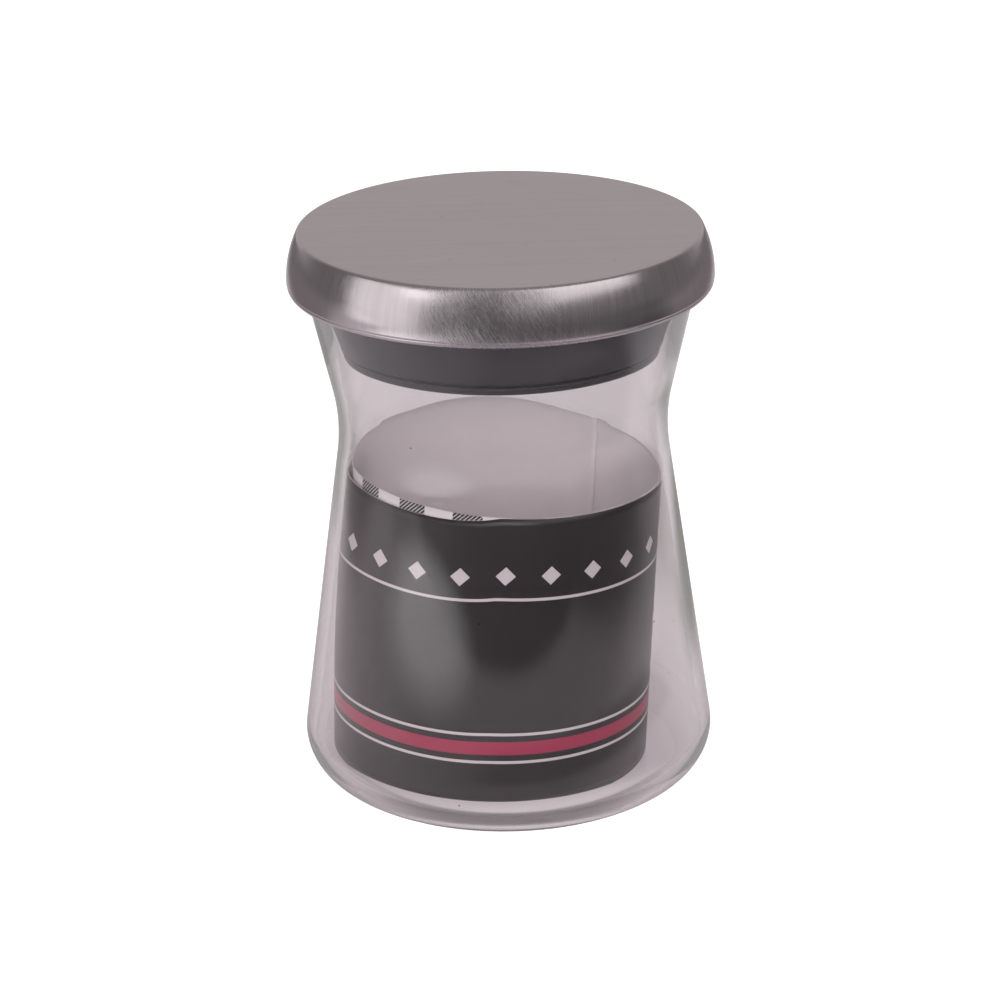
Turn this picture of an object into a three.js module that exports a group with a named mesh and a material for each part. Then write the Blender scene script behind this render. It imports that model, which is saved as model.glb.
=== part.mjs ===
// Glass storage jar: a waisted clear jar, a lift-off steel lid with a rubber seal, and a rolled paper insert.
// Millimetres, +Z up. The jar stands on z = 0 and its axis is the Z axis.
import * as THREE from 'three';

// Glass body. The outline runs foot, waist, mouth as straight lines whose corners are then rounded.
const RIM_HEIGHT = 119.5;
const FOOT_RADIUS = 48.2;
const WAIST_RADIUS = 36.2;
const WAIST_HEIGHT = 84.5;
const MOUTH_RADIUS = 44.1;
const WALL = 2.4;
const FLOOR_THICKNESS = 3.2;
const HEEL_ROUND = 9.4;
const INNER_HEEL_ROUND = 6.8;
const WAIST_ROUND = 43;
const RIM_ROUND = 1.1;
const PUNT_RADIUS = 30;
const PUNT_DEPTH = 0.8;
const PUNT_SLOPE = 2;

// Steel cap: pressed sheet with a convex skirt and a folded hem.
const SHEET = 0.7;
const CAP_HEIGHT = 12.6;
const CAP_EDGE_ROUND = 1.4;
const SKIRT_FLARE = 2.65;
const HEM_WIDTH = 1.4;
const HEM_HEIGHT = 1.2;
const HEM_SETBACK = 0.35;
const HEM_TO_GLASS = 1.3;

// Plastic plug under the cap.
const FLANGE_THICKNESS = 1.8;
const FLANGE_OVERHANG = 0.6;
const UPSTAND_HEIGHT = 5.4;
const UPSTAND_WALL = 1.8;
const UPSTAND_CLEARANCE = 0.5;
const PLUG_DEPTH = 17.8;
const PLUG_WALL = 2;
const PLUG_FLOOR = 2;
const LIP_HEIGHT = 2.1;
const LIP_ROUND = 0.8;
const LIP_TO_GLASS = 1.5;
const GROOVE_DEPTH = 1.4;

// Rubber seal in the plug's groove. It is widest at its shoulder, where it meets the flared mouth.
const SEAL_SHOULDER_DROP = 5.8;
const SEAL_TO_GLASS = 0.3;
const SEAL_LEAD_IN = 1.4;

// Rolled paper insert: one sheet, wound from inside to outside, leaning a little towards +X at the top.
const PAPER = 0.3;
const LAYER_GAP = 0.3;
const ROLL_START_DEG = 50;
const ROLL_TURN_DEG = 700;
const SHEET_HEIGHT = 69;
const ROLL_TAPER = 1.4;
const ROLL_FIT = 0.35;
const LEAN_TOP = 0.45;
const FOOT_TO_WALL = 4.7;
const FOOT_TILT = 1.6;
const RIM_TILT = 2.4;
const RIM_BACK_LIFT = 1.1;
const LAYER_SLIP = 2.1;
const SLIP_START_DEG = 410;
const SLIP_END_DEG = 632;

// Gap between faces that rest on each other.
const SEAT_GAP = 0.3;

// Facets of the turned pieces, and of the sheet.
const SEGMENTS = 48;
const SHEET_STEP_DEG = 10;
const SHEET_ROWS = 4;

// Places that follow from the sizes above.
const innerWaistRadius = WAIST_RADIUS - WALL;
const innerMouthRadius = MOUTH_RADIUS - WALL;
const coneSlope = (FOOT_RADIUS - WAIST_RADIUS) / WAIST_HEIGHT;
const flareSlope = (MOUTH_RADIUS - WAIST_RADIUS) / (RIM_HEIGHT - WAIST_HEIGHT);
const flangeBottom = RIM_HEIGHT + SEAT_GAP;
const upstandTop = flangeBottom + FLANGE_THICKNESS + UPSTAND_HEIGHT;
const capTop = upstandTop + SEAT_GAP + SHEET;
const hemBottom = capTop - CAP_HEIGHT;
const capRadius = MOUTH_RADIUS + HEM_TO_GLASS + HEM_WIDTH + HEM_SETBACK;
const capTopRadius = capRadius - SKIRT_FLARE;
const plugBottom = flangeBottom - PLUG_DEPTH;
const lipTop = plugBottom + LIP_HEIGHT;

// Radius of the jar's inner wall, on its straight lines.
function boreRadius(z) {
  if (z < WAIST_HEIGHT) {
    return innerWaistRadius + coneSlope * (WAIST_HEIGHT - z);
  }
  return innerWaistRadius + flareSlope * (z - WAIST_HEIGHT);
}

// A corner of a turned outline, with the radius and the number of steps of its rounding.
function corner(radius, z, round = 0, steps = 3) {
  return { point: new THREE.Vector2(radius, z), round, steps };
}

// The outline through the corners, with arcs in place of the rounded ones.
function roundedOutline(corners) {
  const outline = [];
  corners.forEach(({ point, round, steps }, i) => {
    if (round === 0) {
      outline.push(point);
      return;
    }
    const back = corners[i - 1].point.clone().sub(point).normalize();
    const ahead = corners[i + 1].point.clone().sub(point).normalize();
    const half = Math.acos(back.dot(ahead)) / 2;
    const centre = back.clone().add(ahead).normalize().multiplyScalar(round / Math.sin(half)).add(point);
    const first = back.multiplyScalar(round / Math.tan(half)).add(point).sub(centre);
    const last = ahead.multiplyScalar(round / Math.tan(half)).add(point).sub(centre);
    const sweep = Math.atan2(first.cross(last), first.dot(last));
    for (let k = 0; k <= steps; k++) {
      outline.push(first.clone().rotateAround(new THREE.Vector2(), (sweep * k) / steps).add(centre));
    }
  });
  return outline;
}

// Turns an outline about Z. It runs with the material on its left.
function turned(outline) {
  return new THREE.LatheGeometry(outline, SEGMENTS).rotateX(Math.PI / 2);
}

function glassBody() {
  const innerFoot = boreRadius(FLOOR_THICKNESS);
  return turned(roundedOutline([
    corner(0, PUNT_DEPTH),
    corner(PUNT_RADIUS - PUNT_SLOPE, PUNT_DEPTH),
    corner(PUNT_RADIUS, 0),
    corner(FOOT_RADIUS, 0, HEEL_ROUND, 7),
    corner(WAIST_RADIUS, WAIST_HEIGHT, WAIST_ROUND, 4),
    corner(MOUTH_RADIUS, RIM_HEIGHT, RIM_ROUND, 2),
    corner(innerMouthRadius, RIM_HEIGHT, RIM_ROUND, 2),
    corner(innerWaistRadius, WAIST_HEIGHT, WAIST_ROUND + WALL, 4),
    corner(innerFoot, FLOOR_THICKNESS, INNER_HEEL_ROUND, 6),
    corner(0, FLOOR_THICKNESS),
  ]));
}

// Radius of the cap's convex skirt, an arc that is upright where it meets the hem.
function skirtRadius(z) {
  const rise = CAP_HEIGHT - HEM_HEIGHT;
  const arc = (SKIRT_FLARE ** 2 + rise ** 2) / (2 * SKIRT_FLARE);
  return capRadius - arc + Math.sqrt(arc ** 2 - (z - hemBottom - HEM_HEIGHT) ** 2);
}

function steelCap() {
  const hemTop = hemBottom + HEM_HEIGHT;
  const hemInner = capRadius - HEM_SETBACK - HEM_WIDTH;
  const sheetBottom = capTop - SHEET;
  const steps = 4;
  const inside = [];
  const outside = [];
  for (let k = 1; k < steps; k++) {
    const z = THREE.MathUtils.lerp(sheetBottom, hemTop, k / steps);
    inside.push(corner(skirtRadius(z) - SHEET, z));
    outside.unshift(corner(skirtRadius(z), z));
  }
  return turned(roundedOutline([
    corner(0, sheetBottom),
    corner(capTopRadius - SHEET, sheetBottom, SHEET / 2, 2),
    ...inside,
    corner(capRadius - SHEET, hemTop),
    corner(hemInner, hemTop),
    corner(hemInner, hemBottom, HEM_SETBACK, 2),
    corner(capRadius - HEM_SETBACK, hemBottom, HEM_SETBACK, 2),
    corner(capRadius, hemTop),
    ...outside,
    corner(capTopRadius, capTop, CAP_EDGE_ROUND, 3),
    corner(0, capTop),
  ]));
}

const lipRadius = boreRadius(plugBottom) - LIP_TO_GLASS;
const grooveRadius = lipRadius - GROOVE_DEPTH;

function lidPlug() {
  const cupRadius = grooveRadius - PLUG_WALL;
  const flangeRadius = MOUTH_RADIUS + FLANGE_OVERHANG;
  const flangeTop = flangeBottom + FLANGE_THICKNESS;
  const upstandRadius = capTopRadius - SHEET - UPSTAND_CLEARANCE;
  return turned(roundedOutline([
    corner(0, plugBottom),
    corner(lipRadius, plugBottom, LIP_ROUND, 3),
    corner(lipRadius, lipTop),
    corner(grooveRadius, lipTop),
    corner(grooveRadius, flangeBottom),
    corner(flangeRadius, flangeBottom),
    corner(flangeRadius, flangeTop),
    corner(upstandRadius, flangeTop),
    corner(upstandRadius, upstandTop),
    corner(upstandRadius - UPSTAND_WALL, upstandTop),
    corner(upstandRadius - UPSTAND_WALL, flangeTop),
    corner(cupRadius, flangeTop),
    corner(cupRadius, plugBottom + PLUG_FLOOR),
    corner(0, plugBottom + PLUG_FLOOR),
  ]));
}

function gasketRing() {
  const bottom = lipTop + SEAT_GAP;
  const top = flangeBottom - SEAT_GAP;
  const shoulder = flangeBottom - SEAL_SHOULDER_DROP;
  const bore = grooveRadius + SEAT_GAP;
  const outline = [
    new THREE.Vector2(bore, bottom),
    new THREE.Vector2(boreRadius(bottom) - SEAL_LEAD_IN, bottom),
    new THREE.Vector2(boreRadius(shoulder) - SEAL_TO_GLASS, shoulder),
    new THREE.Vector2(boreRadius(top) - SEAL_TO_GLASS - RIM_ROUND, top),
    new THREE.Vector2(bore, top),
  ];
  return turned([...outline, outline[0]]);
}

// The roll leans: it stands on its +X side and its rim rests on the wall there, so its -X side is lifted.
const footRest = FLOOR_THICKNESS + SEAT_GAP;
const footMiddle = footRest + FOOT_TILT;
const rimMiddle = footMiddle + SHEET_HEIGHT;
const rollRimRadius = boreRadius(rimMiddle - RIM_TILT) - LEAN_TOP - ROLL_FIT;
const rollFootRadius = rollRimRadius + ROLL_TAPER;
const footLean = boreRadius(FLOOR_THICKNESS) - FOOT_TO_WALL - rollFootRadius;

// How far the outer turn has slipped down beside the inner one.
function layerSlip(deg) {
  const share = THREE.MathUtils.clamp((deg - SLIP_START_DEG) / (SLIP_END_DEG - SLIP_START_DEG), 0, 1);
  return LAYER_SLIP * (1 - (2 * share - 1) ** 6);
}

// A point of the sheet: deg is the winding angle, up runs 0 to 1 from foot to rim, depth is inwards.
function sheetPoint(deg, up, depth) {
  const angle = THREE.MathUtils.degToRad(deg);
  const turnsLeft = (ROLL_START_DEG + ROLL_TURN_DEG - deg) / 360;
  const radius = THREE.MathUtils.lerp(rollFootRadius, rollRimRadius, up)
    - turnsLeft * (PAPER + LAYER_GAP) - depth;
  const lean = THREE.MathUtils.lerp(-footLean, LEAN_TOP, up);
  const foot = footMiddle - FOOT_TILT * Math.cos(angle);
  const rim = rimMiddle - RIM_TILT * Math.cos(angle) + RIM_BACK_LIFT * Math.sin(angle) - layerSlip(deg);
  return new THREE.Vector3(
    lean + radius * Math.cos(angle),
    radius * Math.sin(angle),
    THREE.MathUtils.lerp(foot, rim, up),
  );
}

// The sheet as a closed strip: each section is a loop up the outer face and down the inner one.
function paperInsert() {
  const sections = ROLL_TURN_DEG / SHEET_STEP_DEG;
  const loop = 2 * (SHEET_ROWS + 1);
  const positions = [];
  const triangles = [];
  const quad = (a, b, c, d) => triangles.push(a, b, c, a, c, d);
  for (let i = 0; i <= sections; i++) {
    const deg = ROLL_START_DEG + i * SHEET_STEP_DEG;
    for (let j = 0; j <= SHEET_ROWS; j++) {
      positions.push(...sheetPoint(deg, j / SHEET_ROWS, 0));
    }
    for (let j = SHEET_ROWS; j >= 0; j--) {
      positions.push(...sheetPoint(deg, j / SHEET_ROWS, PAPER));
    }
  }
  for (let i = 0; i < sections; i++) {
    for (let j = 0; j < loop; j++) {
      const next = (j + 1) % loop;
      quad(i * loop + j, (i + 1) * loop + j, (i + 1) * loop + next, i * loop + next);
    }
  }
  const last = sections * loop;
  for (let j = 0; j < SHEET_ROWS; j++) {
    quad(j, j + 1, loop - 2 - j, loop - 1 - j);
    quad(last + j, last + loop - 1 - j, last + loop - 2 - j, last + j + 1);
  }
  const geometry = new THREE.BufferGeometry();
  geometry.setAttribute('position', new THREE.Float32BufferAttribute(positions, 3));
  geometry.setIndex(triangles);
  geometry.computeVertexNormals();
  return geometry;
}

function part(name, geometry, material) {
  const mesh = new THREE.Mesh(geometry, new THREE.MeshStandardMaterial(material));
  mesh.name = name;
  return mesh;
}

const lid = new THREE.Group();
lid.add(
  part('steel_cap', steelCap(), { color: 0x9d9393, roughness: 0.35, metalness: 1 }),
  part('lid_plug', lidPlug(), { color: 0x454046, roughness: 0.5, metalness: 0 }),
  part('gasket_ring', gasketRing(), { color: 0x3e3a3e, roughness: 0.7, metalness: 0 }),
);

const jar = new THREE.Group();
jar.add(
  part('glass_body', glassBody(), {
    color: 0xe9e5e7, roughness: 0.03, metalness: 0, transparent: true, opacity: 0.3,
  }),
  part('paper_insert', paperInsert(), { color: 0x3a353a, roughness: 0.6, metalness: 0 }),
  lid,
);

export default jar;
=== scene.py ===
# %% [markdown]
# # A glass storage jar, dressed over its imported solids
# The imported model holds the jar's five pieces at their real size: a waisted glass body, a lid made of a
# steel cap, a plastic plug and a rubber ring, and a sheet of printed paper rolled up inside. This lesson
# makes the fine surface of each piece and its finish. The solids only carry the motion, so every piece
# here replaces one of them and rides on the same body.

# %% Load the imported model
import math

import bmesh
import bpy
from mathutils import Matrix, Vector


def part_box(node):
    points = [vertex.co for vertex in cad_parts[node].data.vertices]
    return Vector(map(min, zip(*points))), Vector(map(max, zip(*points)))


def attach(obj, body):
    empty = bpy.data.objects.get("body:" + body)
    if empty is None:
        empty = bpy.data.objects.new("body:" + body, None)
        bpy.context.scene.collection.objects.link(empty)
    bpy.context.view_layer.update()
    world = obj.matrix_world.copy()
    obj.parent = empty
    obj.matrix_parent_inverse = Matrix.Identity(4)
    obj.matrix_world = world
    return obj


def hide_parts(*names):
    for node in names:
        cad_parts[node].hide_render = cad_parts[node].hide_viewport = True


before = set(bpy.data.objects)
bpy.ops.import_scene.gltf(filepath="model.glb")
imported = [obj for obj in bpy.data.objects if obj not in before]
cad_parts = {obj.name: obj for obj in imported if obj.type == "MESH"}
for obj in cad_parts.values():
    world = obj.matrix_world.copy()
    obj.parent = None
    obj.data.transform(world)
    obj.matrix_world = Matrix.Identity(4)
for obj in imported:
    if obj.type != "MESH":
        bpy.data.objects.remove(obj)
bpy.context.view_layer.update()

MM = 0.001
for node in sorted(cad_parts):
    low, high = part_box(node)
    print(node, "in mm, from", [round(c / MM, 1) for c in low], "to", [round(c / MM, 1) for c in high])

# %% [markdown]
# ## The camera
# The photograph looks down on the jar from about twenty degrees, from a little under 0.8 m away, with a
# long lens. Place, tilt and roll were fitted to the jar's outline and to the ellipse of its lid. A lens is
# easier to compare in pixels, so the focal length is written as pixels of the 1000 pixel frame.

# %% Camera
FRAME_PX = 1000
FOCAL_PX = 3300
SENSOR_MM = 36
CAMERA_BACK = 0.694
CAMERA_UP = 0.3377
CAMERA_PITCH = math.radians(21.56)
CAMERA_ROLL = math.radians(-1.05)
JAR_RIGHT_OF_CENTRE_PX = 4.6

camera = bpy.data.objects.new("camera", bpy.data.cameras.new("camera"))
bpy.context.scene.collection.objects.link(camera)
bpy.context.scene.camera = camera
camera.data.sensor_width = SENSOR_MM
camera.data.lens = SENSOR_MM * FOCAL_PX / FRAME_PX
camera.data.shift_x = -JAR_RIGHT_OF_CENTRE_PX / FRAME_PX
look_down = Matrix.Rotation(math.pi / 2 - CAMERA_PITCH, 4, "X")
roll = Matrix.Rotation(CAMERA_ROLL, 4, "Z")
camera.matrix_world = Matrix.Translation((0, -CAMERA_BACK, CAMERA_UP)) @ look_down @ roll
print("lens", round(camera.data.lens, 1), "mm on a", SENSOR_MM, "mm sensor")

# %% [markdown]
# ## Turned pieces
# Four of the five pieces are bodies of revolution. A lathe's way suits them: draw half of the section as a
# bare chain of edges through named corners, round the corners, and spin the chain once round the axis. A
# bevel modifier could round the finished mesh, but it gives only nearly round corners and one width for
# all. Here each corner is cut off at its two tangent points, and one of them is spun to the other, which is
# a true arc of its own radius. Chains run with the material on their left, in millimetres.

# %% Section chain and its rounding
def chain_through(section):
    """A bmesh with a bare chain of edges through named (radius, height) corners, and those corners."""
    mesh = bmesh.new()
    corners = {}
    for name, (radius, height) in section.items():
        corners[name] = mesh.verts.new((radius * MM, 0, height * MM))
    points = list(corners.values())
    for first, second in zip(points, points[1:]):
        mesh.edges.new((first, second))
    return mesh, corners


def round_corner(mesh, vertex, radius, segments):
    """Rounds a corner to a true arc: cuts it off at the two tangent points and spins one to the other."""
    sides = [(edge.other_vert(vertex).co - vertex.co).normalized() for edge in vertex.link_edges]
    half = sides[0].angle(sides[1]) / 2
    reach = radius * MM / math.tan(half)
    centre = vertex.co + (sides[0] + sides[1]).normalized() * radius * MM / math.sin(half)
    tangents = []
    for edge in list(vertex.link_edges):
        tangents.append(bmesh.utils.edge_split(edge, vertex, reach / edge.calc_length())[1])
    bmesh.ops.delete(mesh, geom=[vertex], context="VERTS")
    axis = (tangents[0].co - centre).cross(tangents[1].co - centre)
    bmesh.ops.spin(mesh, geom=tangents[:1], cent=centre, axis=axis,
                   angle=math.pi - 2 * half, steps=segments)


def rounded_chain(section, rounds):
    """The chain of a section, with a radius in mm and a number of segments for each corner to round."""
    mesh, corners = chain_through(section)
    for name, (radius, segments) in rounds.items():
        round_corner(mesh, corners[name], radius, segments)
    return mesh


# %% [markdown]
# A spin of 192 steps leaves no corners to see on the outline. Smooth shading would still bend the light on
# a long straight wall, because it blends the normals from one end of a face to the other. Splitting each
# straight close to both of its ends keeps the blend to the last 0.15 mm.

# %% Spin
SPIN_STEPS = 192
WELD = 0.002
STRAIGHT = 2
GUARD = 0.15


def guard_straights(mesh):
    """Splits every long edge close to both ends, so that rounding never bends the shading of a straight."""
    for edge in [edge for edge in mesh.edges if edge.calc_length() > STRAIGHT * MM]:
        first, second = edge.verts
        share = GUARD * MM / edge.calc_length()
        near_first = bmesh.utils.edge_split(edge, first, share)[1]
        rest = mesh.edges.get((near_first, second))
        bmesh.utils.edge_split(rest, second, share)


def spin_round(mesh):
    """Spins the chain into a closed skin with its faces pointing outwards."""
    bmesh.ops.remove_doubles(mesh, verts=mesh.verts, dist=WELD * MM)
    guard_straights(mesh)
    bmesh.ops.spin(mesh, geom=mesh.verts[:] + mesh.edges[:], cent=(0, 0, 0), axis=(0, 0, 1),
                   angle=math.tau, steps=SPIN_STEPS, use_merge=True)
    bmesh.ops.remove_doubles(mesh, verts=mesh.verts, dist=WELD * MM)
    bmesh.ops.recalc_face_normals(mesh, faces=mesh.faces)


print("turned pieces have one step every", round(360 / SPIN_STEPS, 2), "degrees")

# %% Shading and hand-over of a piece
SHARP_ANGLE = math.radians(35)


def shade(mesh):
    """Smooth faces, with the sharp edges kept sharp."""
    for face in mesh.faces:
        face.smooth = True
    for edge in mesh.edges:
        edge.smooth = len(edge.link_faces) != 2 or edge.calc_face_angle(0) < SHARP_ANGLE


def stand_for(name, mesh, node, body, slot, *materials):
    """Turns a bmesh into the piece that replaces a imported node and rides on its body."""
    shade(mesh)
    data = bpy.data.meshes.new(name)
    mesh.to_mesh(data)
    mesh.free()
    piece = bpy.data.objects.new(name, data)
    bpy.context.scene.collection.objects.link(piece)
    for material in materials:
        data.materials.append(material)
    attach(piece, body)
    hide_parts(node)
    print(name, "has", len(data.polygons), "faces")
    return piece


# %% [markdown]
# ## Node helpers
# Every finish below is a small node tree. Written out in full, a tree is a long list of links, so a few
# helpers keep it readable. They add a node, set what is a plain value, link what is another node's socket,
# and return the socket that the next step needs.

# %% Materials and nodes
def new_material(name):
    """A material, its node tree and its Principled shader."""
    material = bpy.data.materials.new(name)
    material.use_nodes = True
    tree = material.node_tree
    return material, tree, tree.nodes["Principled BSDF"]


def feed(tree, socket, value):
    """Links another node's socket to this one, or sets a plain value."""
    if isinstance(value, bpy.types.NodeSocket):
        tree.links.new(value, socket)
    else:
        socket.default_value = value


def add(tree, kind, **settings):
    """Adds a node. Settings name node properties, or input sockets by number as in_0."""
    node = tree.nodes.new(kind)
    for key, value in settings.items():
        if key.startswith("in_"):
            feed(tree, node.inputs[int(key[3:])], value)
        else:
            setattr(node, key, value)
    return node


def object_place(tree):
    """The place on a piece, in metres, with the jar's foot at the origin."""
    return add(tree, "ShaderNodeTexCoord").outputs["Object"]


def tell(material):
    """Says how large a finish is."""
    print("finish", material.name, "has", len(material.node_tree.nodes), "nodes")


# %% Sums, masks and colours
def math_node(tree, operation, *values):
    """A Math node's result."""
    node = add(tree, "ShaderNodeMath", operation=operation)
    for socket, value in zip(node.inputs, values):
        feed(tree, socket, value)
    return node.outputs[0]


def total(tree, first, *others):
    """All values added up."""
    for other in others:
        first = math_node(tree, "ADD", first, other)
    return first


def product(tree, first, *others):
    """All values multiplied. Masks leave what they share."""
    for other in others:
        first = math_node(tree, "MULTIPLY", first, other)
    return first


def ramp(tree, value, start, end, low=0.0, high=1.0):
    """Low at the start, high at the end, eased between."""
    node = add(tree, "ShaderNodeMapRange", interpolation_type="SMOOTHSTEP",
               in_0=value, in_1=start, in_2=end, in_3=low, in_4=high)
    return node.outputs[0]


def paint(tree, under, over, mask):
    """Lays one colour over another where the mask is 1."""
    node = add(tree, "ShaderNodeMix", data_type="RGBA", in_0=mask)
    for socket, colour in ((node.inputs[6], under), (node.inputs[7], over)):
        feed(tree, socket, (*colour, 1) if isinstance(colour, tuple) else colour)
    return node.outputs[2]


# %% [markdown]
# ## Glass body
# The jar is one piece of clear glass: a wide rounded heel, a straight cone, a narrow waist and a flared
# mouth. Its outer and inner outlines are straight lines with rounded corners, 2.4 mm apart. The floor is
# thicker than the wall, and the wall gets thinner towards the rim, where the seal sits close to the outline.
# A single skin would be quicker, but glass only bends light rightly when a ray enters it and leaves it, so
# both skins are modelled. The foot has a shallow punt, so that the jar stands on a ring.

# %% Glass body sizes
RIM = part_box("glass_body")[1].z / MM
FOOT_RADIUS = 48.2
WAIST_RADIUS = 36.2
WAIST_HEIGHT = 84.5
MOUTH_RADIUS = 44.1
WALL = 2.4
MOUTH_WALL = 1.35
THINNING_FROM = 104.0
FLOOR = 3.2
PUNT_RADIUS = 30
PUNT_SLOPE = 2
PUNT_DEPTH = 0.8
CONE_SLOPE = (FOOT_RADIUS - WAIST_RADIUS) / WAIST_HEIGHT
FLARE_SLOPE = (MOUTH_RADIUS - WAIST_RADIUS) / (RIM - WAIST_HEIGHT)
THINNING_SLOPE = (WALL - MOUTH_WALL) / (RIM - THINNING_FROM)


def bore_radius(height):
    """Radius of the jar's inner wall, on its straight lines, in millimetres."""
    if height < WAIST_HEIGHT:
        return WAIST_RADIUS - WALL + CONE_SLOPE * (WAIST_HEIGHT - height)
    thinning = THINNING_SLOPE * max(0.0, height - THINNING_FROM)
    return WAIST_RADIUS - WALL + FLARE_SLOPE * (height - WAIST_HEIGHT) + thinning


print("bore", round(2 * bore_radius(WAIST_HEIGHT), 1), "mm at the waist and",
      round(2 * bore_radius(RIM), 1), "mm at the rim")

# %% [markdown]
# Clear glass is a Principled shader with full transmission, and its base colour tints what passes. Two
# things make it this glass. A few seeds, the tiny bubbles of a melt, are dark dots. The outline turns grey
# green, because light that runs along a wall passes far more glass than light that crosses it. A volume
# would give the same tint, but slowly and with noise, so Layer Weight finds the grazing places instead.

# %% Glass tint
SEEDS_PER_METRE = 110
SEED_RADIUS = 0.00028
SEED_GREY = (0.30, 0.29, 0.295)
GLASS_CLEAR = (0.96, 0.95, 0.955)
GLASS_EDGE = (0.36, 0.375, 0.355)
EDGE_START = 0.68
EDGE_FULL = 0.95


def dots(tree, coordinates, per_metre, radius):
    """1 inside small balls strewn through space, else 0."""
    cells = add(tree, "ShaderNodeTexVoronoi", in_0=coordinates, in_2=per_metre)
    return math_node(tree, "LESS_THAN", cells.outputs["Distance"], radius * per_metre)


glass, tree, shader = new_material("clear glass")
shader.inputs["Roughness"].default_value = 0.0
shader.inputs["IOR"].default_value = 1.5
shader.inputs["Transmission Weight"].default_value = 1.0
facing = add(tree, "ShaderNodeLayerWeight", in_0=0.5).outputs["Facing"]
tint = paint(tree, GLASS_CLEAR, GLASS_EDGE, ramp(tree, facing, EDGE_START, EDGE_FULL))
in_seed = dots(tree, object_place(tree), SEEDS_PER_METRE, SEED_RADIUS)
tree.links.new(paint(tree, tint, SEED_GREY, in_seed), shader.inputs["Base Color"])

# %% [markdown]
# Some rays only lose their way in glass. Shadow rays must pass, or the lamps would not light the paper
# inside. Diffuse rays pass for the same reason. A ray that the wall has trapped would turn black at its last
# bounce, so it is let out before that. For these the glass is a plain transparent sheet.

# %% Ways through the glass
LAST_BOUNCE = 5.5
THROUGH_TINT = (0.97, 0.96, 0.965, 1)

light_path = add(tree, "ShaderNodeLightPath")
trapped = math_node(tree, "GREATER_THAN", light_path.outputs["Ray Depth"], LAST_BOUNCE)
let_through = math_node(tree, "MAXIMUM", light_path.outputs["Is Shadow Ray"], trapped)
let_through = math_node(tree, "MAXIMUM", let_through, light_path.outputs["Is Diffuse Ray"])
clear_sheet = add(tree, "ShaderNodeBsdfTransparent", in_0=THROUGH_TINT)
either = add(tree, "ShaderNodeMixShader", in_0=let_through,
             in_1=shader.outputs[0], in_2=clear_sheet.outputs[0])
tree.links.new(either.outputs[0], tree.nodes["Material Output"].inputs["Surface"])
tell(glass)

# %% Glass body mesh
HEEL_ROUND = 9.4
INNER_HEEL_ROUND = 6.8
WAIST_ROUND = 43
RIM_ROUND = 0.55
THINNING_ROUND = 200
PUNT_ROUND = 3
FOOT_RING_ROUND = 1.5

glass_section = {
    "punt middle": (0, PUNT_DEPTH),
    "punt edge": (PUNT_RADIUS - PUNT_SLOPE, PUNT_DEPTH),
    "foot ring": (PUNT_RADIUS, 0),
    "heel": (FOOT_RADIUS, 0),
    "waist": (WAIST_RADIUS, WAIST_HEIGHT),
    "outer rim": (MOUTH_RADIUS, RIM),
    "inner rim": (MOUTH_RADIUS - MOUTH_WALL, RIM),
    "thinning": (bore_radius(THINNING_FROM), THINNING_FROM),
    "inner waist": (WAIST_RADIUS - WALL, WAIST_HEIGHT),
    "inner heel": (bore_radius(FLOOR), FLOOR),
    "floor middle": (0, FLOOR),
}
mesh = rounded_chain(glass_section, {
    "punt edge": (PUNT_ROUND, 4),
    "foot ring": (FOOT_RING_ROUND, 4),
    "heel": (HEEL_ROUND, 24),
    "waist": (WAIST_ROUND, 24),
    "outer rim": (RIM_ROUND, 6),
    "inner rim": (RIM_ROUND, 6),
    "thinning": (THINNING_ROUND, 16),
    "inner waist": (WAIST_ROUND + WALL, 24),
    "inner heel": (INNER_HEEL_ROUND, 24),
})
spin_round(mesh)
stand_for("glass_jar", mesh, "glass_body", "jar", "clear_glass", glass)

# %% [markdown]
# ## Brushed grain, shared by the steel
# Brushing leaves fine parallel scratches. An image of brushed metal would repeat, so stretched noise draws
# them: a Mapping node in each material squeezes the coordinates across the brushing and stretches them along
# it. The group mixes a fine and a coarse grain into one mask, which drives colour, roughness and relief.

# %% Brushed grain group
def noise(tree, coordinates, scale, detail, roughness):
    """Cloudy noise about a half."""
    node = add(tree, "ShaderNodeTexNoise", in_0=coordinates, in_2=scale, in_3=detail, in_4=roughness)
    return node.outputs["Fac"]


grain = bpy.data.node_groups.new("brushed grain", "ShaderNodeTree")
grain.interface.new_socket("Vector", in_out="INPUT", socket_type="NodeSocketVector")
grain.interface.new_socket("Coarse share", in_out="INPUT", socket_type="NodeSocketFloat")
grain.interface.new_socket("Grain", in_out="OUTPUT", socket_type="NodeSocketFloat")
grain_in = grain.nodes.new("NodeGroupInput")
grain_out = grain.nodes.new("NodeGroupOutput")
fine = noise(grain, grain_in.outputs["Vector"], scale=1.0, detail=3.0, roughness=0.7)
coarse = noise(grain, grain_in.outputs["Vector"], scale=0.22, detail=2.0, roughness=0.5)
both = add(grain, "ShaderNodeMix", data_type="FLOAT",
           in_0=grain_in.outputs["Coarse share"], in_2=fine, in_3=coarse)
grain.links.new(both.outputs[0], grain_out.inputs["Grain"])
print("group", grain.name, "has", len(grain.nodes), "nodes")

# %% Grain, patches and relief on steel
RELIEF_DEPTH = 0.00004
PATCH_CORE = 0.6
NOISE_LOW = 0.25
NOISE_HIGH = 0.75


def spread(tree, value, low, high):
    """Maps noise, which mostly stays between a quarter and three quarters, to a range."""
    node = add(tree, "ShaderNodeMapRange", in_0=value,
               in_1=NOISE_LOW, in_2=NOISE_HIGH, in_3=low, in_4=high)
    return node.outputs[0]


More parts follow.
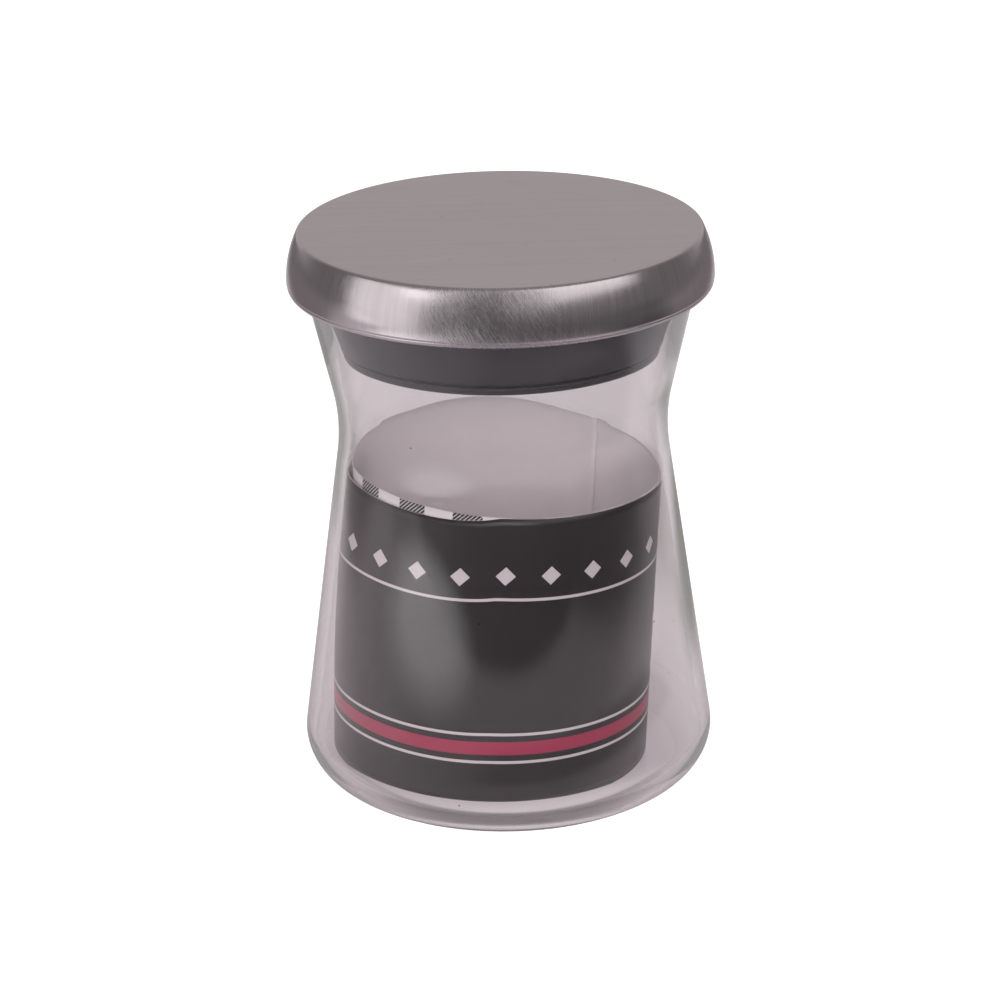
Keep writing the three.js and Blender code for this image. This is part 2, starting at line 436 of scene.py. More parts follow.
def place_grain(tree, coordinates, size, turn, coarse_share, weight):
    """Grain about zero: its size along each axis in metres, after a turn, times a weight."""
    mapping = add(tree, "ShaderNodeMapping", vector_type="TEXTURE", in_0=coordinates, in_2=turn, in_3=size)
    node = add(tree, "ShaderNodeGroup", node_tree=grain)
    tree.links.new(mapping.outputs[0], node.inputs["Vector"])
    node.inputs["Coarse share"].default_value = coarse_share
    return product(tree, math_node(tree, "SUBTRACT", node.outputs["Grain"], 0.5), weight)


def patch_mask(tree, coordinates, middle, reach, turn=(0, 0, 0)):
    """1 at a point, fading to 0 at the given reach along each axis, in metres, after a turn."""
    mapping = add(tree, "ShaderNodeMapping", vector_type="TEXTURE",
                  in_0=coordinates, in_1=middle, in_2=turn, in_3=reach)
    ball = add(tree, "ShaderNodeTexGradient", gradient_type="SPHERICAL", in_0=mapping.outputs[0])
    return ramp(tree, ball.outputs["Fac"], 0.0, PATCH_CORE)


def brushed(tree, shader, mask, bump):
    """Steel's metal and relief, from a brushing mask."""
    shader.inputs["Metallic"].default_value = 1.0
    relief = add(tree, "ShaderNodeBump", in_0=bump, in_1=RELIEF_DEPTH)
    tree.links.new(mask, relief.inputs["Height"])
    tree.links.new(relief.outputs[0], shader.inputs["Normal"])


# %% [markdown]
# ## Steel cap
# The cap is pressed from thin stainless sheet. Its flat top turns over a crisp edge into a convex skirt,
# which ends in a rolled hem with a fine crease above it. The top is brushed straight across and the skirt up
# and down, so the two get materials of their own on one mesh. Use has left its marks on the top: dark specks
# and one bright scratch.

# %% Steel top finish
CAP_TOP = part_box("steel_cap")[1].z / MM
CAP_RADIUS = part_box("steel_cap")[1].x / MM
STEEL_DARK = (0.46, 0.426, 0.430)
STEEL_LIGHT = (0.66, 0.618, 0.623)
SPECK_DARK = tuple(c * 0.75 for c in STEEL_DARK)
SPECKS_PER_METRE = 150.0
SPECK_RADIUS = 0.035 / SPECKS_PER_METRE
SCRATCH_PLACE = (-0.0144, -0.0233, CAP_TOP * MM)
SCRATCH_SHINE = 0.7

steel_top, tree, shader = new_material("brushed steel top")
flat = object_place(tree)
lines = place_grain(tree, flat, size=(0.030, 0.0005, 0.030), turn=(0, 0, 0.03),
                    coarse_share=0.4, weight=1.0)
clouds = place_grain(tree, flat, size=(0.020, 0.006, 0.020), turn=(0, 0, 0.05),
                     coarse_share=0.5, weight=0.5)
mask = total(tree, 0.5, lines, clouds)
tint = paint(tree, STEEL_DARK, STEEL_LIGHT, mask)
scratch = patch_mask(tree, flat, SCRATCH_PLACE, reach=(0.009, 0.0003, 0.01), turn=(0, 0, 0.35))
tint = paint(tree, tint, STEEL_LIGHT, product(tree, scratch, SCRATCH_SHINE))
tint = paint(tree, tint, SPECK_DARK, dots(tree, flat, SPECKS_PER_METRE, SPECK_RADIUS))
tree.links.new(tint, shader.inputs["Base Color"])
tree.links.new(spread(tree, mask, 0.36, 0.42), shader.inputs["Roughness"])
brushed(tree, shader, mask, bump=0.3)
tell(steel_top)

# %% [markdown]
# The skirt's grain runs round a curve, so its coordinates are unrolled first: the bearing from the front,
# times the radius, is a length along the skirt. In front, hands have scuffed the steel, so slanting
# scratches cross the upright ones there and the gloss is duller.

# %% Steel skirt finish
SKIRT_DARK = (0.40, 0.370, 0.382)
SKIRT_LIGHT = (0.575, 0.540, 0.555)
DULLING = 0.08

steel_skirt, tree, shader = new_material("brushed steel skirt")
axes = add(tree, "ShaderNodeSeparateXYZ", in_0=object_place(tree))
to_front = product(tree, axes.outputs[1], -1.0)
bearing = math_node(tree, "ARCTAN2", axes.outputs[0], to_front)
arc = product(tree, bearing, CAP_RADIUS * MM)
unrolled = add(tree, "ShaderNodeCombineXYZ", in_0=arc, in_2=axes.outputs[2]).outputs[0]
scuffed = patch_mask(tree, unrolled, middle=(-0.001, 0, 0.121), reach=(0.018, 1, 0.03))
dulled = patch_mask(tree, unrolled, middle=(0.003, 0, 0.121), reach=(0.036, 1, 0.07))
upright = place_grain(tree, unrolled, size=(0.0002, 1, 0.02), turn=(0, 0.05, 0),
                      coarse_share=0.3, weight=1.2)
bands = place_grain(tree, unrolled, size=(0.0022, 1, 0.03), turn=(0, 0.05, 0),
                    coarse_share=0.2, weight=0.7)
slanting = place_grain(tree, unrolled, size=(0.0002, 1, 0.006), turn=(0, -0.55, 0),
                       coarse_share=0.1, weight=3.4)
mask = total(tree, 0.5, upright, bands, product(tree, slanting, scuffed))
tree.links.new(paint(tree, SKIRT_DARK, SKIRT_LIGHT, mask), shader.inputs["Base Color"])
gloss = total(tree, spread(tree, mask, 0.14, 0.22), product(tree, dulled, DULLING))
tree.links.new(gloss, shader.inputs["Roughness"])
brushed(tree, shader, mask, bump=0.5)
tell(steel_skirt)

# %% [markdown]
# The skirt bulges as one arc from the crease to the top, upright where it starts. Two straight lines that
# meet at the right height, rounded with nearly the whole arc, give that curve. The hem is the sheet rolled
# under: it is set in a little from the skirt, and its lower corner is round.

# %% Steel cap sizes
HEM_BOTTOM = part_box("steel_cap")[0].z / MM
SHEET = 0.7
SKIRT_FLARE = 2.65
SKIRT_ROUND_SHARE = 0.9
CAP_EDGE_ROUND = 1.1
HEM_HEIGHT = 1.2
HEM_WIDTH = 1.4
HEM_ROUND = 1.05
HEM_TUCK = 0.2
HEM_BELLY = 0.1
HEM_SETBACK = 0.35
CREASE = 0.15
CREASE_LOWER = 0.06
CREASE_UPPER = 0.35
hem_top = HEM_BOTTOM + HEM_HEIGHT
hem_inner = CAP_RADIUS - HEM_SETBACK - HEM_WIDTH
rise = CAP_TOP - hem_top
skirt_arc = (SKIRT_FLARE ** 2 + rise ** 2) / (2 * SKIRT_FLARE)
skirt_turn = 2 * math.atan(SKIRT_FLARE / rise)
shoulder = hem_top + skirt_arc * math.tan(skirt_turn / 2)
skirt_round = skirt_arc * SKIRT_ROUND_SHARE
print("skirt arc", round(skirt_arc, 1), "mm, turning", round(math.degrees(skirt_turn), 1), "degrees")

# %% Steel cap mesh
TOP_FACES_UP = 0.95

cap_section = {
    "under the top": (0, CAP_TOP - SHEET),
    "inner edge": (CAP_RADIUS - SKIRT_FLARE - SHEET, CAP_TOP - SHEET),
    "inner shoulder": (CAP_RADIUS - SHEET, shoulder),
    "inner crease": (CAP_RADIUS - SHEET, hem_top),
    "hem end": (hem_inner, hem_top),
    "hem inside": (hem_inner, HEM_BOTTOM),
    "hem foot": (CAP_RADIUS - HEM_TUCK, HEM_BOTTOM),
    "hem belly": (CAP_RADIUS - HEM_BELLY, hem_top - CREASE_LOWER),
    "crease": (CAP_RADIUS - CREASE, hem_top),
    "skirt foot": (CAP_RADIUS, hem_top + CREASE_UPPER),
    "shoulder": (CAP_RADIUS, shoulder),
    "edge": (CAP_RADIUS - SKIRT_FLARE, CAP_TOP),
    "top middle": (0, CAP_TOP),
}
mesh = rounded_chain(cap_section, {
    "inner shoulder": (skirt_round, 12),
    "hem inside": (0.4, 4),
    "hem foot": (HEM_ROUND, 10),
    "hem belly": (0.08, 3),
    "skirt foot": (0.3, 4),
    "shoulder": (skirt_round, 16),
    "edge": (CAP_EDGE_ROUND, 8),
})
spin_round(mesh)
for face in mesh.faces:
    face.material_index = int(face.normal.z < TOP_FACES_UP)
stand_for("steel_lid_cap", mesh, "steel_cap", "lid", "brushed_steel", steel_top, steel_skirt)

# %% [markdown]
# ## Plug and seal
# Under the cap a dark plastic plug hangs into the mouth. Its flange sits on the glass rim, its lower lip
# with a fine groove shows through the glass, and between them a tapered rubber ring seals against the flared
# wall. Plastic is satin and rubber is matt. One function makes both, with an uneven gloss, because a dark
# surface of one even value looks like a hole in the picture.

# %% Dark plastic and rubber finishes
LUMP_LIGHTER = 1.6
LUMP_DEPTH = 0.0002
DARK_SHINE = 0.3


def dark_moulding(name, colour, rough, bump, scale):
    """A dark moulded finish with fine uneven gloss."""
    material, tree, shader = new_material(name)
    lumps = noise(tree, object_place(tree), scale=scale, detail=4.0, roughness=0.6)
    tint = paint(tree, colour, tuple(c * LUMP_LIGHTER for c in colour), lumps)
    tree.links.new(tint, shader.inputs["Base Color"])
    shader.inputs["Specular IOR Level"].default_value = DARK_SHINE
    tree.links.new(spread(tree, lumps, *rough), shader.inputs["Roughness"])
    relief = add(tree, "ShaderNodeBump", in_0=bump, in_1=LUMP_DEPTH)
    tree.links.new(lumps, relief.inputs["Height"])
    tree.links.new(relief.outputs[0], shader.inputs["Normal"])
    tell(material)
    return material


plug_plastic = dark_moulding("plug plastic", (0.024, 0.023, 0.028), rough=(0.40, 0.50), bump=0.05, scale=900)
seal_rubber = dark_moulding("seal rubber", (0.023, 0.022, 0.027), rough=(0.6, 0.75), bump=0.08, scale=1500)

# %% Plug sizes
PLUG_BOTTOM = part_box("lid_plug")[0].z / MM
PLUG_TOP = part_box("lid_plug")[1].z / MM
FLANGE_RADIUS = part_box("lid_plug")[1].x / MM
SEAT_GAP = 0.3
FLANGE_THICKNESS = 1.8
PLUG_WALL = 2
LIP_HEIGHT = 1.6
LIP_TO_GLASS = 1.3
LIP_DEPTH = 1.4
LIP_ROUND = 0.5
GROOVE_HEIGHT = 0.95
GROOVE_HALF = 0.12
GROOVE_DEPTH = 0.15
UPSTAND_WALL = 1.8
UPSTAND_CLEARANCE = 0.5
flange_bottom = RIM + SEAT_GAP
flange_top = flange_bottom + FLANGE_THICKNESS
lip_radius = bore_radius(PLUG_BOTTOM) - LIP_TO_GLASS
lip_top = PLUG_BOTTOM + LIP_HEIGHT
groove = PLUG_BOTTOM + GROOVE_HEIGHT
stem_radius = lip_radius - LIP_DEPTH
cup_radius = stem_radius - PLUG_WALL
cup_floor = PLUG_BOTTOM + PLUG_WALL
upstand_radius = CAP_RADIUS - SKIRT_FLARE - SHEET - UPSTAND_CLEARANCE
print("lip", round(2 * lip_radius, 1), "mm across, flange", round(2 * FLANGE_RADIUS, 1), "mm across")

# %% Plug mesh
plug_section = {
    "foot middle": (0, PLUG_BOTTOM),
    "lip": (lip_radius, PLUG_BOTTOM),
    "groove lower edge": (lip_radius, groove - GROOVE_HALF),
    "groove": (lip_radius - GROOVE_DEPTH, groove),
    "groove upper edge": (lip_radius, groove + GROOVE_HALF),
    "lip top": (lip_radius, lip_top),
    "stem foot": (stem_radius, lip_top),
    "stem top": (stem_radius, flange_bottom),
    "flange lower edge": (FLANGE_RADIUS, flange_bottom),
    "flange upper edge": (FLANGE_RADIUS, flange_top),
    "upstand foot": (upstand_radius, flange_top),
    "upstand": (upstand_radius, PLUG_TOP),
    "inner upstand": (upstand_radius - UPSTAND_WALL, PLUG_TOP),
    "inner upstand foot": (upstand_radius - UPSTAND_WALL, flange_top),
    "cup edge": (cup_radius, flange_top),
    "cup floor": (cup_radius, cup_floor),
    "cup middle": (0, cup_floor),
}
mesh = rounded_chain(plug_section, {
    "lip": (LIP_ROUND, 5),
    "lip top": (0.25, 3),
    "flange lower edge": (0.3, 3),
    "flange upper edge": (0.3, 3),
})
spin_round(mesh)
stand_for("lid_plug_moulding", mesh, "lid_plug", "lid", "plug_plastic", plug_plastic)

# %% Seal ring mesh
SEAL_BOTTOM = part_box("gasket_ring")[0].z / MM
SEAL_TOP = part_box("gasket_ring")[1].z / MM
SHOULDER_BELOW_FLANGE = 5.8
FOOT_TO_GLASS = 1.0
SHOULDER_TO_GLASS = 0.12
TOP_TO_GLASS = 1.1
SEAL_FOOT_ROUND = 1.0
SEAL_SHOULDER_ROUND = 2.5
seal_shoulder = flange_bottom - SHOULDER_BELOW_FLANGE
seal_bore = stem_radius + SEAT_GAP

seal_section = {
    "inner foot": (seal_bore, SEAL_BOTTOM),
    "foot": (bore_radius(SEAL_BOTTOM) - FOOT_TO_GLASS, SEAL_BOTTOM),
    "shoulder": (bore_radius(seal_shoulder) - SHOULDER_TO_GLASS, seal_shoulder),
    "top": (bore_radius(SEAL_TOP) - SEAT_GAP - TOP_TO_GLASS, SEAL_TOP),
    "inner top": (seal_bore, SEAL_TOP),
    "back at the inner foot": (seal_bore, SEAL_BOTTOM),
}
mesh = rounded_chain(seal_section, {
    "foot": (SEAL_FOOT_ROUND, 8),
    "shoulder": (SEAL_SHOULDER_ROUND, 5),
    "top": (0.4, 4),
})
spin_round(mesh)
stand_for("rubber_seal_ring", mesh, "gasket_ring", "lid", "seal_rubber", seal_rubber)

# %% [markdown]
# ## Rolled paper insert
# A printed sheet, wound nearly twice, stands loose in the jar. It starts as what it is, a flat grid, and
# every vertex is then rolled up: its place along the sheet is a winding angle, its place across is a height.
# A cloth simulation could roll it too, but a formula gives the same roll each time. The roll leans, because
# its foot rides up the curved floor on one side and its rim rests on the wall on the other. The outer turn
# has slipped down a little, so a strip of the inner turn shows above it, and it springs out on the left.

# %% Paper sizes
PAPER = 0.16
LAYER_STEP = 0.32
ROLL_START = 50
ROLL_TURN = 700
SHEET_HEIGHT = 69
ROLL_TAPER = 1.4
ROLL_FIT = 0.35
LEAN_TOP = 0.45
FOOT_TO_WALL = 4.7
FOOT_TILT = 1.6
RIM_TILT = 2.4
RIM_BACK_LIFT = 1.1
foot_middle = FLOOR + SEAT_GAP + FOOT_TILT
rim_middle = foot_middle + SHEET_HEIGHT
rim_radius = bore_radius(rim_middle - RIM_TILT) - LEAN_TOP - ROLL_FIT
foot_radius = rim_radius + ROLL_TAPER
foot_lean = bore_radius(FLOOR) - FOOT_TO_WALL - foot_radius
sheet_length = math.tau * (rim_radius + foot_radius) / 2 * ROLL_TURN / 360
print("sheet", round(sheet_length), "by", SHEET_HEIGHT, "mm, rolled", round(ROLL_TURN / 360, 2), "times")

# %% Rolling a point of the sheet
SLIP = 2.1
SLIP_START = 410
SLIP_END = 628
SLIP_CRISPNESS = 8
SPRING = 1.6
SPRING_SPAN = 0.86


def rolled(along, up):
    """Where a point of the flat sheet lies on the roll. Both shares run from 0 to 1."""
    winding = ROLL_START + ROLL_TURN * along
    angle = math.radians(winding)
    radius = foot_radius + (rim_radius - foot_radius) * up - (1 - along) * ROLL_TURN / 360 * LAYER_STEP
    lean = -foot_lean + (LEAN_TOP + foot_lean) * up
    share = min(max((winding - SLIP_START) / (SLIP_END - SLIP_START), 0), 1)
    loose = 1 - (2 * share - 1) ** SLIP_CRISPNESS
    to_left = min(math.cos(angle), 0) ** 2
    radius += SPRING * loose * to_left * math.sin(SPRING_SPAN * math.pi * up)
    foot = foot_middle - FOOT_TILT * math.cos(angle)
    rim = rim_middle - RIM_TILT * math.cos(angle) + RIM_BACK_LIFT * math.sin(angle) - SLIP * loose
    return Vector((lean + radius * math.cos(angle), radius * math.sin(angle), foot + (rim - foot) * up)) * MM


sheet_end = rolled(1, 1)
print("the sheet's last corner stands at", [round(c / MM, 1) for c in sheet_end], "mm")

# %% [markdown]
# ## Print on the paper
# The outside of the sheet is printed charcoal with a satin finish, and carries a plain border of pinstripes,
# lozenges and one raspberry band. The print follows the sheet, not the room, so it reads the sheet's own UV
# map, which is turned into millimetres first. Stripes and lozenges are then only distances.

# %% The sheet's own map
def sheet_shares(tree):
    """Shares along and up the sheet, from its own UV map."""
    sheet_uv = add(tree, "ShaderNodeUVMap", uv_map="sheet")
    axes = add(tree, "ShaderNodeSeparateXYZ", in_0=sheet_uv.outputs[0])
    return axes.outputs[0], axes.outputs[1]


def stripe(tree, value, centre, width):
    """1 inside a band of the given centre and width, else 0."""
    away = math_node(tree, "ABSOLUTE", math_node(tree, "SUBTRACT", value, centre))
    return math_node(tree, "LESS_THAN", away, width / 2)


# %% Charcoal print
CHARCOAL = (0.0085, 0.006, 0.0062)
WORN_CHARCOAL = tuple(c * 1.5 for c in CHARCOAL)
CHALK = (0.62, 0.58, 0.60)
RASPBERRY = (0.36, 0.025, 0.075)
BAND_HEIGHT = 14.0
BAND_WIDTH = 3.2
PINSTRIPE_HEIGHTS = (10.6, 17.4, 50.0)
PINSTRIPE_WIDTH = 0.7
LOZENGE_HEIGHT = 55.5
LOZENGE_STEP = 10.0
LOZENGE_HALF = 2.2

printed, tree, shader = new_material("printed paper")
along, up = sheet_shares(tree)
along_mm = product(tree, along, sheet_length)
up_mm = product(tree, up, SHEET_HEIGHT)
fibre = noise(tree, object_place(tree), scale=90.0, detail=2.0, roughness=0.5)
ink = paint(tree, CHARCOAL, WORN_CHARCOAL, fibre)
ink = paint(tree, ink, RASPBERRY, stripe(tree, up_mm, BAND_HEIGHT, BAND_WIDTH))
for height in PINSTRIPE_HEIGHTS:
    ink = paint(tree, ink, CHALK, stripe(tree, up_mm, height, PINSTRIPE_WIDTH))
lozenge_along = math_node(tree, "PINGPONG", along_mm, LOZENGE_STEP / 2)
lozenge_up = math_node(tree, "ABSOLUTE", math_node(tree, "SUBTRACT", up_mm, LOZENGE_HEIGHT))
lozenge = math_node(tree, "LESS_THAN", total(tree, lozenge_along, lozenge_up), LOZENGE_HALF)
ink = paint(tree, ink, CHALK, lozenge)
print("border of", len(PINSTRIPE_HEIGHTS), "pinstripes, and a lozenge every", LOZENGE_STEP, "mm")

# %% [markdown]
# On its first turn the sheet's top edge has a gingham check. A square is plain or hatched as the sum of its
# column and row is even or odd, and the hatching is a slanting back and forth wave, cut off at a level.

# %% Gingham edge
CHECK = 6.75
CHECK_SHIFT = 3.9
CHECK_ROWS = 2
CHECK_PLAIN = (0.72, 0.69, 0.70)
HATCH_DARK = (0.004, 0.003, 0.003)
HATCH_LIGHT = (0.55, 0.53, 0.54)
HATCH_HALF_STEP = 0.46
HATCH_LEVEL = 0.3
FIRST_TURN = 0.5

from_rim = math_node(tree, "SUBTRACT", SHEET_HEIGHT, up_mm)
column = math_node(tree, "FLOOR", math_node(tree, "DIVIDE", total(tree, along_mm, CHECK_SHIFT), CHECK))
row = math_node(tree, "FLOOR", math_node(tree, "DIVIDE", from_rim, CHECK))
odd = math_node(tree, "MODULO", total(tree, column, row), 2.0)
slant = math_node(tree, "PINGPONG", math_node(tree, "SUBTRACT", along_mm, up_mm), HATCH_HALF_STEP)
hatched = paint(tree, HATCH_DARK, HATCH_LIGHT, math_node(tree, "GREATER_THAN", slant, HATCH_LEVEL))
gingham = paint(tree, CHECK_PLAIN, hatched, odd)
on_first_turn = math_node(tree, "LESS_THAN", along, FIRST_TURN)
at_top = math_node(tree, "LESS_THAN", from_rim, CHECK_ROWS * CHECK)
ink = paint(tree, ink, gingham, product(tree, on_first_turn, at_top))
tree.links.new(ink, shader.inputs["Base Color"])
tree.links.new(spread(tree, fibre, 0.30, 0.38), shader.inputs["Roughness"])
shader.inputs["Specular IOR Level"].default_value = 0.55
tell(printed)

# %% [markdown]
# The inside is bare pale paper, slightly mottled. Where the check ends, its ink also shows on the sheet's
# cut top edge, as short dashes.

# %% Bare paper
PULP_GREY = (0.83, 0.78, 0.80)
PULP_PALE = (0.90, 0.85, 0.87)
EDGE_INK = (0.03, 0.027, 0.027)
CUT_EDGE = 0.9995
DASHES_MIDDLE = 0.475
DASHES_LENGTH = 0.09
DASH_HALF_STEP = 0.55
DASH_LEVEL = 0.2

bare, tree, shader = new_material("bare paper")
along, up = sheet_shares(tree)
fibre = noise(tree, object_place(tree), scale=420.0, detail=4.0, roughness=0.65)
pulp = paint(tree, PULP_GREY, PULP_PALE, fibre)
on_cut = math_node(tree, "GREATER_THAN", up, CUT_EDGE)
near_end = stripe(tree, along, DASHES_MIDDLE, DASHES_LENGTH)
wave = math_node(tree, "PINGPONG", product(tree, along, sheet_length), DASH_HALF_STEP)
dash = math_node(tree, "GREATER_THAN", wave, DASH_LEVEL)
pulp = paint(tree, pulp, EDGE_INK, product(tree, on_cut, near_end, dash))
tree.links.new(pulp, shader.inputs["Base Color"])
shader.inputs["Roughness"].default_value = 0.75
tell(bare)

# %% [markdown]
# Paper has a thickness, if only just. A Solidify modifier grows it inwards from the printed face, and gives
# the inner face and the cut edges the bare paper.

# %% Paper mesh
GRID_ALONG = 280
GRID_UP = 36

mesh = bmesh.new()
mesh.loops.layers.uv.new("sheet")
bmesh.ops.create_grid(mesh, x_segments=GRID_ALONG, y_segments=GRID_UP, size=0.5, calc_uvs=True)
for vertex in mesh.verts:
    vertex.co = rolled(vertex.co.x + 0.5, vertex.co.y + 0.5)
bmesh.ops.recalc_face_normals(mesh, faces=mesh.faces)
mesh.faces.ensure_lookup_table()
sample = mesh.faces[len(mesh.faces) // 2]
print("sheet faces outwards:", sample.normal.dot(Vector((*sample.calc_center_median().xy, 0))) > 0)
paper = stand_for("rolled_paper", mesh, "paper_insert", "insert", "printed_paper", printed, bare)
thickness = paper.modifiers.new("paper thickness", "SOLIDIFY")
thickness.thickness = PAPER * MM
thickness.offset = -1
thickness.material_offset = 1
thickness.material_offset_rim = 1

# %% [markdown]
# ## Stage
# The jar stood on a pale sweep between soft boxes, and the picture was then cut out on white. The floor is
# therefore plain white to the camera, and a grey table to everything that reflects or refracts it. It lies a
# tenth of a millimetre above the foot: two skins in one plane would flicker, and a film of air under the
# glass would turn the foot into a black mirror.

# %% Floor
FLOOR_ABOVE_FOOT = 0.0001
FLOOR_HALF = 3

floor_mesh = bmesh.new()
bmesh.ops.create_grid(floor_mesh, x_segments=1, y_segments=1, size=FLOOR_HALF)
bmesh.ops.translate(floor_mesh, verts=floor_mesh.verts, vec=(0, 0, FLOOR_ABOVE_FOOT))
floor_data = bpy.data.meshes.new("floor")
floor_mesh.to_mesh(floor_data)
floor_mesh.free()
floor = bpy.data.objects.new("floor", floor_data)
bpy.context.scene.collection.objects.link(floor)
print("floor", 2 * FLOOR_HALF, "m wide,", FLOOR_ABOVE_FOOT / MM, "mm above the foot")

# %% [markdown]
# What glass and steel show is mostly the table, so the table has zones of painted light and shade, for every
# ray but the camera's.
# It ends in front and at the right, where it is painted dark as the shade of the unlit room that the skirt
# reflects. It is painted darker towards the front edge, lighter towards the lit backdrop, and darker at both
# sides behind the jar. The zones are masks of the place on the
# floor, in metres: x to the right and y to the back.

# %% Table zones
SWEEP = (0.66, 0.62, 0.64)
# Painted shade in front, painted light at the back, painted shade at the back sides and past the table's end
FRONT_PAINTED_SHADE = (0.47, 0.44, 0.455)
BACK_PAINTED_LIGHT = (0.78, 0.755, 0.775)
BACK_SIDE_PAINTED_SHADE = (0.30, 0.275, 0.285)
UNLIT_ROOM_PAINTED_SHADE = (0.085, 0.079, 0.082)

sweep, tree, shader = new_material("pale sweep")
on_floor = object_place(tree)
place = add(tree, "ShaderNodeSeparateXYZ", in_0=on_floor)
x = place.outputs[0]
y = place.outputs[1]
aside = math_node(tree, "ABSOLUTE", x)
near_front = ramp(tree, y, -0.06, -0.13)
far_back = ramp(tree, y, 0.12, 0.3)
back_sides = product(tree, ramp(tree, aside, 0.18, 0.26), ramp(tree, y, 0.0, 0.1))
past_right_end = product(tree, ramp(tree, x, 0.2, 0.32), ramp(tree, y, 0.12, 0.0))
off_table = math_node(tree, "MAXIMUM", ramp(tree, y, -0.27, -0.34), past_right_end)
zones = [
    (near_front, FRONT_PAINTED_SHADE),
    (far_back, BACK_PAINTED_LIGHT),
    (back_sides, BACK_SIDE_PAINTED_SHADE),
    (off_table, UNLIT_ROOM_PAINTED_SHADE),
]
print("the table has", len(zones), "zones")

# %% [markdown]
# Close to the jar there are more. The crevice under the rounded heel is painted as shade. A ring in front,
# which the neck and the hem mirror, is painted darker as shade. Two patches behind the jar are painted darker
# as shade, and what the edges of its walls show of them by total reflection draws the grey lines along the
# outline.

# %% Zones round the jar
# Painted shade: the crevice, the ring in front and the two patches behind the jar, all darker than the table
CREVICE_SHADE = (0.26, 0.245, 0.245)
NECK_SHADE = (0.22, 0.206, 0.212)
RIGHT_WALL_PAINTED_SHADE = (0.34, 0.345, 0.33)
LEFT_WALL_PAINTED_SHADE = (0.43, 0.43, 0.42)

from_axis = add(tree, "ShaderNodeVectorMath", operation="LENGTH", in_0=on_floor).outputs["Value"]


def ring(tree, inner, outer):
    """1 between two circles, each given as the radii where its soft edge starts and ends."""
    return product(tree, ramp(tree, from_axis, *inner), ramp(tree, from_axis, *outer))


crevice = product(tree, ring(tree, (0.0368, 0.0405), (0.0485, 0.0445)), ramp(tree, y, -0.022, -0.041))
neck_ring = product(tree, ring(tree, (0.115, 0.130), (0.190, 0.170)),
                    ramp(tree, x, -0.07, -0.01), ramp(tree, y, 0.02, -0.02))
by_right_wall = patch_mask(tree, on_floor, middle=(0.095, 0.13, 0), reach=(0.06, 0.10, 1))
by_left_wall = patch_mask(tree, on_floor, middle=(-0.125, 0.21, 0), reach=(0.055, 0.08, 1))
zones += [
    (crevice, CREVICE_SHADE),
    (neck_ring, NECK_SHADE),
    (by_right_wall, RIGHT_WALL_PAINTED_SHADE),
    (by_left_wall, LEFT_WALL_PAINTED_SHADE),
]
light_path = add(tree, "ShaderNodeLightPath")
unseen = math_node(tree, "SUBTRACT", 1.0, light_path.outputs["Is Camera Ray"])
# Each zone paints its light or shade over the table, for every ray but the camera's
table = SWEEP
for zone, grey in zones:
    table = paint(tree, table, grey, product(tree, zone, unseen))
tree.links.new(table, shader.inputs["Base Color"])
shader.inputs["Roughness"].default_value = 1.0
shader.inputs["Specular IOR Level"].default_value = 0.0
print("with those round the jar there are", len(zones))

# %% [markdown]
# The floor also glows. To the camera it glows up to white. To other rays it adds light where the room is
# bright at both sides, in a pool at the front left that the skirt reflects as its bright patch, and under
# the jar, where the curved glass gathers light. Rays at their last bounces get no lamp light from the floor
# any more, and a little glow makes up for it.

# %% Floor glow
SEEN_GLOW = 0.72
SIDE_GLOW = 0.1
POOL_GLOW = 1.15
GATHERED_GLOW = 0.2
DEEP_GLOW = 0.24

sides = product(tree, ramp(tree, aside, 0.3, 0.7), SIDE_GLOW)
pool = patch_mask(tree, on_floor, middle=(-0.265, -0.245, 0), reach=(0.20, 0.20, 1))
gathered = product(tree, ramp(tree, from_axis, 0.0395, 0.037), GATHERED_GLOW, ramp(tree, y, -0.006, -0.032))
deep = math_node(tree, "GREATER_THAN", light_path.outputs["Ray Depth"], LAST_BOUNCE)
room_glow = total(tree, sides, product(tree, pool, POOL_GLOW), gathered, product(tree, deep, DEEP_GLOW))
seen_glow = product(tree, light_path.outputs["Is Camera Ray"], SEEN_GLOW)
glow = total(tree, seen_glow, product(tree, room_glow, unseen))
shader.inputs["Emission Color"].default_value = (1, 1, 1, 1)
tree.links.new(glow, shader.inputs["Emission Strength"])
floor_data.materials.append(sweep)
tell(sweep)

# %% [markdown]
# ## World
# The rest of the room is a simple sky: dim all round, brighter towards the backdrop behind the jar and
# towards the ceiling. An image of a studio would show its own lamps in the glass. The camera sees white.

# %% World
ROOM_LEVEL = 0.22
BACKDROP_LEVEL = 0.57
CEILING_LEVEL = 0.15
ROOM_TINT = (1.0, 0.94, 0.95, 1)
WHITE = (1.0, 1.0, 1.0)

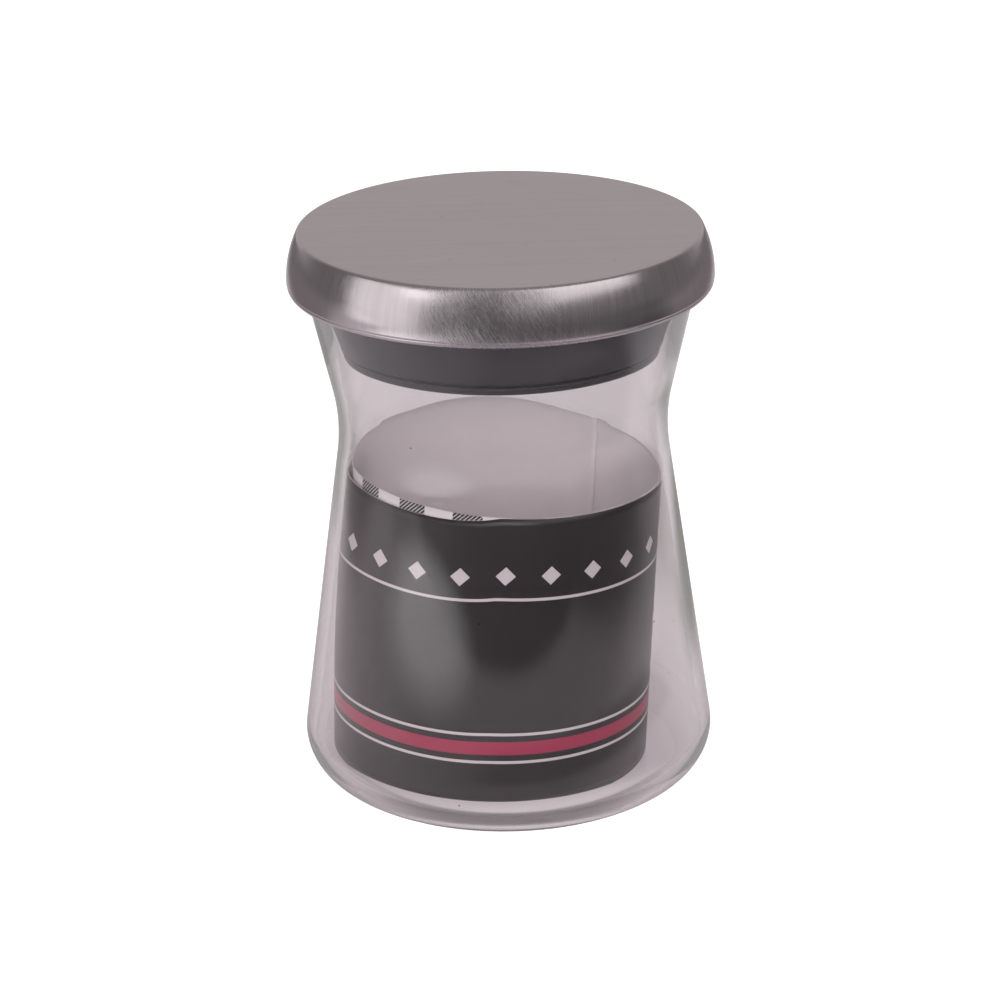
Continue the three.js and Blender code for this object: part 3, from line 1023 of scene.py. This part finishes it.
world = bpy.data.worlds.new("studio")
bpy.context.scene.world = world
world.use_nodes = True
tree = world.node_tree
towards = add(tree, "ShaderNodeTexCoord").outputs["Generated"]
direction = add(tree, "ShaderNodeSeparateXYZ", in_0=towards)
backdrop = ramp(tree, direction.outputs[1], 0.45, 0.9, low=ROOM_LEVEL, high=BACKDROP_LEVEL)
ceiling = ramp(tree, direction.outputs[2], 0.45, 0.85, low=0.0, high=CEILING_LEVEL)
studio = add(tree, "ShaderNodeMix", data_type="RGBA", blend_type="MULTIPLY",
             in_0=1.0, in_6=total(tree, backdrop, ceiling), in_7=ROOM_TINT)
is_camera = add(tree, "ShaderNodeLightPath").outputs["Is Camera Ray"]
sky = paint(tree, studio.outputs[2], WHITE, is_camera)
tree.links.new(sky, tree.nodes["Background"].inputs["Color"])
print("world", world.name, "has", len(tree.nodes), "nodes")

# %% [markdown]
# ## Light
# The skirt is a mirror of the lamps, so their places were read from it: a soft box at the left with a small
# card above it, and a large high one at the right. An overhead box and two fills in front light the lid, the
# paper and the seal. They would show as hard shapes in the glass, so reflections leave them out.

# %% Soft boxes
LAMP_TINT = (1.0, 0.97, 0.98)
AIM = Vector((0, 0, 0.09))


def soft_box(name, azimuth, distance, middle, size, brightness, in_reflections=True):
    """A rectangular light that faces the jar. Azimuth 0 is the camera's side, middle is its height."""
    light = bpy.data.lights.new(name, "AREA")
    light.shape = "RECTANGLE"
    light.size, light.size_y = size
    light.energy = brightness * math.pi * light.size * light.size_y
    light.color = LAMP_TINT
    lamp = bpy.data.objects.new(name, light)
    bpy.context.scene.collection.objects.link(lamp)
    turn = math.radians(azimuth)
    lamp.location = (math.sin(turn) * distance, -math.cos(turn) * distance, middle)
    lamp.rotation_euler = (lamp.location - AIM).to_track_quat("Z", "Y").to_euler()
    lamp.visible_camera = False
    lamp.visible_glossy = in_reflections
    print(name, "gives", round(light.energy, 2), "W")


soft_box("left soft box", azimuth=-61.2, distance=0.42, middle=0.18, size=(0.34, 0.32), brightness=1.1)
soft_box("high left card", azimuth=-39, distance=0.42, middle=0.315, size=(0.2, 0.09), brightness=1.4)
soft_box("right soft box", azimuth=48.5, distance=0.55, middle=0.513, size=(0.68, 0.42), brightness=1.3)
soft_box("overhead soft box", azimuth=180, distance=0.2, middle=1.0, size=(1.0, 0.8), brightness=1.9,
         in_reflections=False)
soft_box("front fill", azimuth=0, distance=1.0, middle=0.45, size=(0.8, 0.5), brightness=3.6,
         in_reflections=False)
soft_box("low front fill", azimuth=0, distance=1.0, middle=0.175, size=(0.6, 0.1), brightness=4.0,
         in_reflections=False)

# %% [markdown]
# A product picture keeps its whites white, so colours go to the file without a film curve.

# %% Colour handling
bpy.context.scene.view_settings.view_transform = "Standard"
bpy.context.scene.view_settings.look = "None"
print("view transform", bpy.context.scene.view_settings.view_transform)
